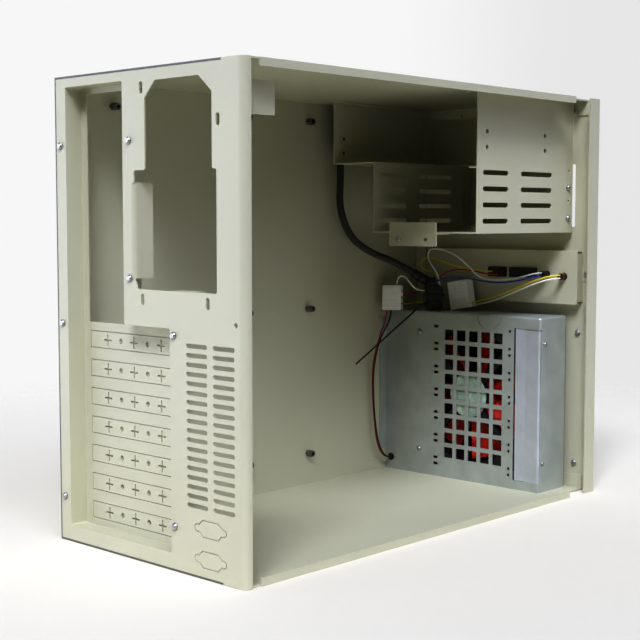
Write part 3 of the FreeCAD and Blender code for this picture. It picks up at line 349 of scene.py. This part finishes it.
finishes = {
    "painted_steel": painted_steel("painted_steel_paint"),
    "zinc_steel": zinc_steel("zinc_sheet", (0.50, 0.535, 0.50), (0.59, 0.62, 0.585)),
    "bright_zinc": zinc_steel("bright_zinc_sheet", (0.60, 0.625, 0.65), (0.71, 0.735, 0.76)),
    "filter_mesh": moulded("filter_black", (0.006, 0.006, 0.006), (0.016, 0.016, 0.015), 0.6,
                           500.0, 0.0004),
    "screw_steel": bright_metal("screw_zinc", (0.40, 0.40, 0.38), (0.56, 0.56, 0.54), 0.45),
    "dark_steel": bright_metal("standoff_steel", (0.20, 0.20, 0.18), (0.30, 0.30, 0.28), 0.4),
    "black_plastic": moulded("black_moulding", (0.014, 0.014, 0.013), (0.026, 0.026, 0.024), 0.48),
    "red_plastic": moulded("button_red", (0.40, 0.022, 0.016), (0.50, 0.03, 0.022), 0.32),
    "fan_red_plastic": moulded("fan_red", (0.80, 0.04, 0.022), (0.92, 0.06, 0.032), 0.36),
    "brown_lamp": moulded("lamp_brown", (0.05, 0.014, 0.008), (0.09, 0.026, 0.014), 0.3),
    "black_lamp": moulded("lamp_black", (0.012, 0.012, 0.012), (0.022, 0.022, 0.021), 0.3),
    "black_rubber": moulded("rubber_black", (0.014, 0.013, 0.012), (0.024, 0.023, 0.021), 0.62),
    "white_plastic": nylon("nylon_white"),
    "black_sleeve": braid("sleeve_black"),
    "wire_white": moulded("insulation_white", (0.88, 0.88, 0.83), (0.95, 0.95, 0.90), 0.38),
    "wire_blue": moulded("insulation_blue", (0.04, 0.065, 0.34), (0.055, 0.085, 0.44), 0.38),
    "wire_yellow": moulded("insulation_yellow", (0.80, 0.66, 0.06), (0.90, 0.76, 0.08), 0.38),
    "wire_red": moulded("insulation_red", (0.40, 0.035, 0.028), (0.50, 0.048, 0.036), 0.38),
    "wire_black": moulded("insulation_black", (0.016, 0.015, 0.014), (0.028, 0.027, 0.025), 0.38),
}
label_paper = paper("label_paper")

for part in frame["record"]["subparts"]:
    node = frame["nodes"][part["node"]]
    node.data.materials.clear()
    node.data.materials.append(finishes[part["material_slot"]])
# The folded sheet's paint gets a dark colour on its rear-facing faces near its rear edge
frame["nodes"]["main_shell"].data.materials[0] = dark_rear_edges(painted_steel("painted_steel_folded"))


def finished(piece, slot, body="chassis", material=None):
    """Gives a new piece its material, its slot's finish unless another is given, and lets it ride on a body.
    """
    bpy.context.scene.collection.objects.link(piece)
    piece.data.materials.append(material or finishes[slot])
    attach(piece, body)
    return piece


def mesh_piece(name, bm, slot, body="chassis", material=None):
    """Finished piece from a mesh under construction."""
    bmesh.ops.recalc_face_normals(bm, faces=bm.faces)
    mesh = bpy.data.meshes.new(name)
    bm.to_mesh(mesh)
    bm.free()
    return finished(bpy.data.objects.new(name, mesh), slot, body, material)


def rounded(piece):
    """Small round on the sharp edges of a plug."""
    edges = piece.modifiers.new("edges", "BEVEL")
    edges.width = PLUG_EDGE
    edges.segments = PLUG_EDGE_STEPS
    edges.limit_method = "ANGLE"
    edges.angle_limit = PLUG_EDGE_ANGLE


# Plugs
def housing(name, size, pocket_end, matrix):
    """Nylon plug housing: a block with one pocket per contact and keying ribs on both sides."""
    length, thick, high = size
    bm = bmesh.new()
    bmesh.ops.create_cube(bm, size=1.0, matrix=Matrix.Diagonal((length, thick, high, 1.0)))
    for i in range(1, PLUG_CELLS):
        cut = (i / PLUG_CELLS - 0.5) * high
        geometry = bm.verts[:] + bm.edges[:] + bm.faces[:]
        bmesh.ops.bisect_plane(bm, geom=geometry, plane_co=UP * cut, plane_no=UP)
    mouths = [f for f in bm.faces if f.normal.x * pocket_end > 0.9]
    bmesh.ops.inset_individual(bm, faces=mouths, thickness=PLUG_WALL)
    bmesh.ops.inset_individual(bm, faces=mouths, thickness=PLUG_WALL / 10, depth=-PLUG_POCKET)
    for side in (-1, 1):
        for i in range(PLUG_CELLS):
            x = -pocket_end * length * PLUG_RIB_SHIFT
            y = side * (thick / 2 - PLUG_RIB / 3)
            z = ((0.5 + i) / PLUG_CELLS - 0.5) * high
            wide = high / PLUG_CELLS * PLUG_RIB_WIDE
            shape = Matrix.Diagonal((length * PLUG_RIB_LONG, PLUG_RIB, wide, 1.0))
            bmesh.ops.create_cube(bm, size=1.0, matrix=Matrix.Translation((x, y, z)) @ shape)
    piece = mesh_piece(name, bm, "white_plastic")
    rounded(piece)
    piece.data.transform(matrix)
    return piece


def left_plug():
    """Upright plug that ends the fan's leads."""
    half = PLUG_LEFT_SIZE[1] / 2
    x = PLUG_LEFT_FACE[0] + half * math.sin(PLUG_LEFT_YAW)
    back = PLUG_LEFT_FACE[1] - half * math.cos(PLUG_LEFT_YAW)
    at = place(x, back, PLUG_LEFT_LOW + PLUG_LEFT_SIZE[2] / 2)
    stance = Matrix.Translation(at) @ Matrix.Rotation(PLUG_LEFT_YAW, 4, "Z")
    piece = housing("plug_left_housing", PLUG_LEFT_SIZE, -1, stance)
    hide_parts("plug_left")
    return piece


def right_plug():
    """Tilted plug on the fan box."""
    stance = Matrix.Translation(place(*PLUG_RIGHT_AT)) @ Matrix.Rotation(PLUG_RIGHT_TILT, 4, "Y")
    piece = housing("plug_right_housing", PLUG_RIGHT_SIZE, 1, stance)
    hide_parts("plug_right")
    return piece


# Taped bundle
def ring(bm, centre, u, v, squareness, sides=32):
    """Loop of points round a centre: an ellipse for a squareness of one, a rounded box for less."""
    loop = []
    for i in range(sides):
        angle = 2 * math.pi * i / sides
        c = math.cos(angle)
        s = math.sin(angle)
        u_share = math.copysign(abs(c) ** squareness, c)
        v_share = math.copysign(abs(s) ** squareness, s)
        loop.append(bm.verts.new(centre + u * u_share + v * v_share))
    return loop


def skin(bm, loops):
    """Closed skin over a row of loops."""
    for lower, upper in zip(loops, loops[1:]):
        for i in range(len(lower)):
            j = (i + 1) % len(lower)
            bm.faces.new((lower[i], lower[j], upper[j], upper[i]))
    bm.faces.new(loops[0])
    bm.faces.new(loops[-1])


def taped(step):
    """Height of the tape at a place along its wrap: each turn starts proud and falls to the next."""
    return TAPE_LIFT * (1 - (step / TAPE_WIDTH) % 1.0)


def bundle():
    """Black tape wound round the wires, lying on the fan box, with a collar on the sleeve's end."""
    bm = bmesh.new()
    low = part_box("harness_bundle")[0].z
    forth = Vector((math.cos(BUNDLE_YAW), math.sin(BUNDLE_YAW), 0.0))
    across = Vector((-forth.y, forth.x, 0.0))
    loops = []
    for i in range(BUNDLE_ROWS + 1):
        z = low + (BUNDLE_TOP - low) * i / BUNDLE_ROWS
        over = max(0.0, (z - BUNDLE_STEP) / (BUNDLE_TOP - BUNDLE_STEP))
        near = BUNDLE_LENGTH - (BUNDLE_LENGTH - BUNDLE_FRONT_TOP) * min(1.0, 2.0 * over)
        dome = math.sqrt(max(0.0, 1 - over ** 3))
        share = BUNDLE_CROWN + (1 - BUNDLE_CROWN) * dome
        reach = BUNDLE_LENGTH * share
        wide = BUNDLE_HALF * share - TAPE_LIFT + taped(z)
        centre = place(*BUNDLE_AT, z) + forth * (reach - near) / 2
        loops.append(ring(bm, centre, forth * (reach + near) / 2, across * wide, BUNDLE_SQUARENESS))
    skin(bm, loops)
    end = place(*SLEEVE_ROUTE[-1])
    way = (end - place(*SLEEVE_ROUTE[-2])).normalized()
    side = way.cross(UP).normalized()
    over = side.cross(way)
    collar = []
    for i in range(COLLAR_ROWS + 1):
        step = COLLAR_LENGTH * i / COLLAR_ROWS
        r = COLLAR_R - TAPE_LIFT + taped(step)
        collar.append(ring(bm, end + way * step, side * r, over * r, 1.0))
    skin(bm, collar)
    piece = mesh_piece("tape_bundle", bm, "black_plastic")
    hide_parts("harness_bundle")
    return piece


# Cords: control points in metres, in the wiring's frame. They are the part's own, but for the white
# wire of the left plug and the switch's red wire, which were moved a little
SLEEVE_ROUTE = [
    (0.181, 0.1185, 0.283), (0.181, 0.1185, 0.262), (0.1815, 0.1195, 0.238), (0.180, 0.108, 0.213),
    (0.177, 0.084, 0.199), (0.1685, 0.059, 0.1904), (0.159, 0.0465, 0.181)]
LED_WHITE_ROUTE = [
    (0.1395, 0.033, 0.168), (0.1395, 0.033, 0.178), (0.1535, 0.033, 0.192), (0.152, 0.033, 0.202),
    (0.1395, 0.033, 0.2023), (0.121, 0.033, 0.197), (0.1073, 0.032, 0.1865), (0.098, 0.031, 0.1775),
    (0.080, 0.030, 0.176), (0.062, 0.031, 0.1778), (0.0473, 0.032, 0.1815), (0.042, 0.0267, 0.1833),
    (0.042, 0.019, 0.1833)]
LED_BLUE_ROUTE = [
    (0.140735, 0.038938, 0.172), (0.137306, 0.042577, 0.172), (0.131, 0.0445, 0.1755), (0.121, 0.0425, 0.178),
    (0.109, 0.0385, 0.178), (0.097, 0.035, 0.176), (0.082, 0.0335, 0.1743), (0.067, 0.033, 0.175),
    (0.057, 0.0334, 0.1766), (0.0478, 0.032, 0.1786), (0.042, 0.0267, 0.1807), (0.042, 0.019, 0.1807)]
SWITCH_YELLOW_ROUTE = [
    (0.1436, 0.0286, 0.168), (0.1436, 0.0286, 0.1765), (0.1515, 0.0295, 0.1815), (0.1595, 0.0315, 0.183),
    (0.164, 0.0306, 0.1875), (0.1623, 0.0283, 0.1928), (0.155, 0.0265, 0.194), (0.146, 0.0265, 0.192),
    (0.134, 0.026, 0.1888), (0.119, 0.025, 0.185), (0.103, 0.0262, 0.1833), (0.0968, 0.0207, 0.183),
    (0.0968, 0.0135, 0.183)]
SWITCH_RED_ROUTE = [
    (0.143744, 0.032828, 0.173), (0.1415, 0.0292, 0.1775), (0.1335, 0.0262, 0.1835), (0.113, 0.0255, 0.1845),
    (0.0975, 0.0262, 0.1817), (0.090, 0.0207, 0.1805), (0.090, 0.0135, 0.1805)]
LAMP_YELLOW_ROUTE = [
    (0.025, 0.017, 0.1818), (0.025, 0.0247, 0.1818), (0.0305, 0.0304, 0.1805), (0.045, 0.032, 0.1755),
    (0.064, 0.0295, 0.1685), (0.084, 0.025, 0.1616), (0.10136, 0.022, 0.157124), (0.111701, 0.022, 0.155301)]
LAMP_WHITE_ROUTE = [
    (0.025, 0.017, 0.1792), (0.025, 0.0247, 0.1792), (0.0305, 0.0304, 0.1779), (0.045, 0.032, 0.1729),
    (0.064, 0.0295, 0.1659), (0.084, 0.025, 0.159), (0.100909, 0.022, 0.154564), (0.111249, 0.022, 0.15274)]
PLUG_WHITE_ROUTE = [
    (0.170911, 0.054341, 0.1695), (0.170911, 0.054341, 0.1775), (0.1635, 0.0520, 0.1780),
    (0.1575, 0.0505, 0.1702), (0.1552, 0.0446, 0.165), (0.151022, 0.039687, 0.165)]
PLUG_RED_ROUTE = [
    (0.172164, 0.049905, 0.1595), (0.175009, 0.044622, 0.1595), (0.172, 0.0355, 0.161),
    (0.164, 0.0288, 0.1635), (0.157027, 0.027482, 0.1645), (0.152569, 0.032213, 0.1645)]
PLUG_YELLOW_ROUTE = [
    (0.172164, 0.049905, 0.152), (0.175009, 0.044622, 0.152), (0.172, 0.0355, 0.1525),
    (0.164, 0.0288, 0.1535), (0.157027, 0.027482, 0.154), (0.152569, 0.032213, 0.154)]
FAN_RED_ROUTE = [
    (0.1849, 0.0463, 0.012), (0.1849, 0.0538, 0.012), (0.1863, 0.062, 0.023), (0.1865, 0.0665, 0.045),
    (0.187, 0.069, 0.075), (0.1865, 0.069, 0.100), (0.183, 0.064, 0.124), (0.1785, 0.0598, 0.139),
    (0.1785, 0.0598, 0.1475)]
FAN_BLACK_ROUTE = [
    (0.1831, 0.0463, 0.012), (0.1831, 0.0543, 0.012), (0.1831, 0.064, 0.024), (0.183, 0.0695, 0.0455),
    (0.1835, 0.072, 0.075), (0.183, 0.0715, 0.100), (0.180, 0.066, 0.124), (0.1748, 0.058, 0.1388),
    (0.1748, 0.058, 0.1475)]


def cord(node, route, diameter, slot):
    """One smooth line led by the route's control points, in place of the part's tube."""
    name = node + "_cord"
    curve = bpy.data.curves.new(name, "CURVE")
    curve.dimensions = "3D"
    curve.bevel_depth = diameter / 2
    curve.bevel_resolution = CORD_ROUND_STEPS
    curve.resolution_u = CORD_STEPS
    curve.use_fill_caps = True
    line = curve.splines.new("NURBS")
    line.points.add(len(route) - 1)
    for point, at in zip(line.points, route):
        point.co = (*place(*at), 1.0)
    line.order_u = 3
    line.use_endpoint_u = True
    piece = finished(bpy.data.objects.new(name, curve), slot)
    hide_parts(node)


plug_a = left_plug()
plug_b = right_plug()
tape = bundle()
cord("sleeve_cable", SLEEVE_ROUTE, SLEEVE_D, "black_sleeve")
cord("led_wire_white", LED_WHITE_ROUTE, WIRE_D, "wire_white")
cord("led_wire_blue", LED_BLUE_ROUTE, WIRE_D, "wire_blue")
cord("switch_wire_yellow", SWITCH_YELLOW_ROUTE, WIRE_D, "wire_yellow")
cord("switch_wire_red", SWITCH_RED_ROUTE, WIRE_D, "wire_red")
cord("lamp_wire_yellow", LAMP_YELLOW_ROUTE, WIRE_D, "wire_yellow")
cord("lamp_wire_white", LAMP_WHITE_ROUTE, WIRE_D, "wire_white")
cord("fan_lead_red", FAN_RED_ROUTE, WIRE_D, "wire_red")
cord("fan_lead_black", FAN_BLACK_ROUTE, WIRE_D, "wire_black")
cord("plug_wire_white", PLUG_WHITE_ROUTE, WIRE_D, "wire_white")
cord("plug_wire_red", PLUG_RED_ROUTE, WIRE_D, "wire_red")
cord("plug_wire_yellow", PLUG_YELLOW_ROUTE, WIRE_D, "wire_yellow")


# Label on the fan's hub
def hub_label():
    """Round paper label on the motor's seat, pressed down at its rim."""
    low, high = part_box("fan_frame")
    centre = (low + high) / 2
    face = Vector((centre.x, high.y, centre.z))
    profile = (
        (LABEL_R, 0.0),
        (LABEL_R, LABEL_T / 2),
        (LABEL_R - LABEL_EDGE, LABEL_T),
        (LABEL_R / 4, LABEL_T),
    )
    bm = bmesh.new()
    skin(bm, [ring(bm, face + REAR * lift, RIGHT * r, UP * r, 1.0, LABEL_SIDES) for r, lift in profile])
    mesh_piece("hub_label", bm, "white_plastic", material=label_paper)


hub_label()


# Studio
def white_sheet():
    """White sheet under the part, which fades out all round into the white room."""
    mesh = bpy.data.meshes.new("white_sheet")
    a = SHEET_REACH[1]
    mesh.from_pydata([(-a, -a, 0), (a, -a, 0), (a, a, 0), (-a, a, 0)], [], [(0, 1, 2, 3)])
    sheet = bpy.data.objects.new("white_sheet", mesh)
    bpy.context.scene.collection.objects.link(sheet)
    sheet.location.z = cad_low.z - SHEET_DROP
    material, tree, shader = fresh("white_sheet_paper")
    shader.inputs["Base Color"].default_value = (*SHEET_WHITE, 1.0)
    shader.inputs["Roughness"].default_value = SHEET_ROUGHNESS
    shader.inputs["Specular IOR Level"].default_value = 0.0
    reach = tree.nodes.new("ShaderNodeVectorMath")
    reach.operation = "LENGTH"
    tree.links.new(tree.nodes.new("ShaderNodeTexCoord").outputs["Object"], reach.inputs[0])
    fade = span(tree, reach.outputs["Value"], SHEET_REACH, (1.0, 0.0))
    tree.links.new(fade, shader.inputs["Alpha"])
    mesh.materials.append(material)


def towards(azimuth, height):
    """Direction at a compass angle and a height above the floor, both in degrees."""
    turn = math.radians(azimuth)
    rise = math.radians(height)
    flat = math.cos(rise)
    return Vector((flat * math.cos(turn), flat * math.sin(turn), math.sin(rise)))


def glow(tree, way, azimuth, height, half, strength):
    """Soft round light of a half-angle about a direction."""
    edges = [math.cos(math.radians(angle)) for angle in (half + LIGHT_BLUR, half - LIGHT_BLUR)]
    return span(tree, along(tree, way, towards(azimuth, height)), edges, (0.0, strength))


def white_room():
    """White surroundings: soft boxes on the camera's side, white walls beyond the part, and a white backdrop
    for the camera with painted shade towards the right.
    """
    world = bpy.data.worlds.new("white_room")
    bpy.context.scene.world = world
    world.use_nodes = True
    tree = world.node_tree
    tree.nodes.clear()
    way = tree.nodes.new("ShaderNodeTexCoord").outputs["Generated"]
    low = span(tree, along(tree, way, UP), WALL_TOP, (1.0, 0.0))
    walls = [glow(tree, way, *wall) for wall in FAR_WALLS]
    strength = maths(tree, "MULTIPLY", maths(tree, "ADD", *walls), low)
    for box in SOFT_BOXES:
        strength = maths(tree, "ADD", strength, glow(tree, way, *box))
    light = tree.nodes.new("ShaderNodeBackground")
    light.inputs["Color"].default_value = (*LIGHT_TINT, 1.0)
    tree.links.new(strength, light.inputs["Strength"])
    # Backdrop seen by the camera, darker towards the right of the view: painted shade
    right = CAMERA_WAY.cross(UP).normalized()
    white_to_shade = (ROOM_WHITE, ROOM_WHITE * ROOM_SHADE_SHARE)
    shade = span(tree, along(tree, way, right), ROOM_SHADE_SPAN, white_to_shade)
    seen = tree.nodes.new("ShaderNodeBackground")
    seen.inputs["Color"].default_value = (1.0, 1.0, 1.0, 1.0)
    tree.links.new(shade, seen.inputs["Strength"])
    ray = tree.nodes.new("ShaderNodeLightPath")
    mix = tree.nodes.new("ShaderNodeMixShader")
    out = tree.nodes.new("ShaderNodeOutputWorld")
    tree.links.new(ray.outputs["Is Camera Ray"], mix.inputs["Fac"])
    tree.links.new(light.outputs["Background"], mix.inputs[1])
    tree.links.new(seen.outputs["Background"], mix.inputs[2])
    tree.links.new(mix.outputs["Shader"], out.inputs["Surface"])


def camera():
    """Camera where the photograph was taken from."""
    data = bpy.data.cameras.new("camera")
    data.lens = CAMERA_LENS
    data.sensor_width = CAMERA_SENSOR
    piece = bpy.data.objects.new("camera", data)
    bpy.context.scene.collection.objects.link(piece)
    piece.location = CAMERA_AT
    turn = CAMERA_WAY.to_track_quat("-Z", "Y").to_matrix().to_4x4()
    piece.rotation_euler = (turn @ Matrix.Rotation(CAMERA_ROLL, 4, "Z")).to_euler()
    bpy.context.scene.camera = piece


white_sheet()
white_room()
camera()
view = bpy.context.scene.view_settings
view.view_transform = "Standard"
view.gamma = ROOM_CONTRAST
